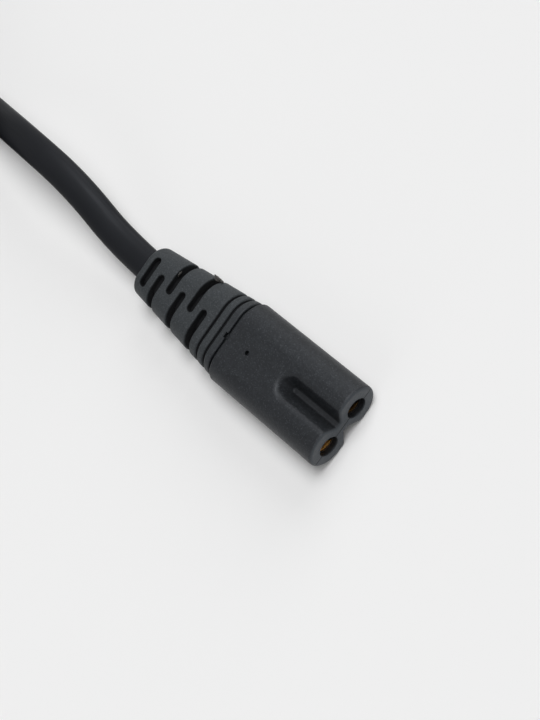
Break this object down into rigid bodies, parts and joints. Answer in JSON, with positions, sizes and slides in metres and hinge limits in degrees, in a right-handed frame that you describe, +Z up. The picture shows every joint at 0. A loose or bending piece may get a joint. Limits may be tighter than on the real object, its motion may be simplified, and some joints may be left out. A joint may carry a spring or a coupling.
{
  "type": "power cord",
  "caption": "Flat two-core mains lead with a moulded figure-eight appliance connector, a slotted bending boot, a tied hank of cord and a flat two-pin plug.",
  "frame": {"origin": "bottom centre of the connector moulding, on the surface it lies on", "axes": "+X along the connector towards its mating face, +Y across it, +Z up; the cord leaves towards -X"},
  "size_m": [0.2802, 0.0428, 0.0181],
  "materials": {
    "moulded_pvc": "fine spark-eroded matte",
    "cord_pvc": "smooth satin",
    "insert_plastic": "matt as moulded",
    "sleeve_plastic": "smooth satin",
    "tie_plastic": "smooth satin",
    "contact_bronze": "rolled strip, bright",
    "copper_strand": "drawn, bright",
    "plated_brass": "nickel plated",
    "core_blue": "smooth",
    "core_brown": "smooth"
  },
  "bodies": {
    "root": {"connector_body": "moulded_pvc", "contact_carrier": "insert_plastic", "socket_contact_left": "contact_bronze", "socket_contact_right": "contact_bronze", "connector_core_left": "core_blue", "connector_core_right": "core_brown", "connector_wire_left": "copper_strand", "connector_wire_right": "copper_strand", "cord": "cord_pvc", "cord_hank": "cord_pvc", "hank_tie": "tie_plastic", "cord_tail": "cord_pvc", "plug_body": "moulded_pvc", "plug_bridge": "insert_plastic", "plug_pin_left": "plated_brass", "plug_pin_right": "plated_brass", "pin_sleeve_left": "sleeve_plastic", "pin_sleeve_right": "sleeve_plastic", "plug_core_left": "core_blue", "plug_core_right": "core_brown", "plug_wire_left": "copper_strand", "plug_wire_right": "copper_strand"}
  },
  "joints": []
}
